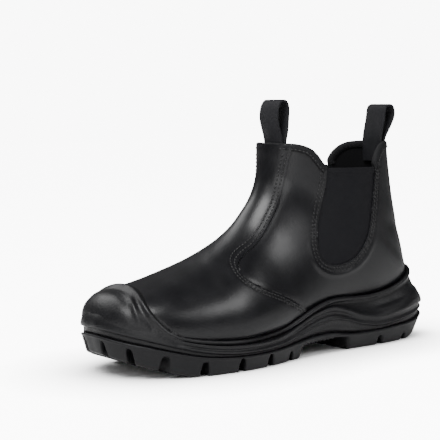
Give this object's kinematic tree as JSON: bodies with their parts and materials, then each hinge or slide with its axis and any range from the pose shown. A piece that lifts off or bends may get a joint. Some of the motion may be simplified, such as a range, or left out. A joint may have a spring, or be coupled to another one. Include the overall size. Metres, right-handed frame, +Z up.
{
  "type": "steel toe boot",
  "caption": "Black slip-on leather safety boot for the left foot, with elastic side gores, webbing pull loops, a moulded toe bumper and a lugged sole.",
  "frame": {"origin": "bottom of the boot's box, at its middle in plan: the plane of the floor", "axes": "+X from heel to toe, +Y to the wearer's left (outer side of this left boot), +Z up"},
  "size_m": [0.306, 0.112, 0.197],
  "materials": {
    "leather": "smooth black leather, semi-matt",
    "elastic": "ribbed elastic",
    "tape": "woven binding tape",
    "webbing": "woven webbing",
    "footbed": "felt footbed",
    "moulded_side": "moulded, fine grain",
    "tread": "moulded rubber"
  },
  "bodies": {
    "root": {"upper": "leather", "gore_left": "elastic", "gore_right": "elastic", "collar_binding_front": "tape", "collar_binding_rear": "tape", "pull_loop_front": "webbing", "pull_loop_rear": "webbing", "insole": "footbed", "midsole": "moulded_side", "outsole": "tread"}
  },
  "joints": []
}
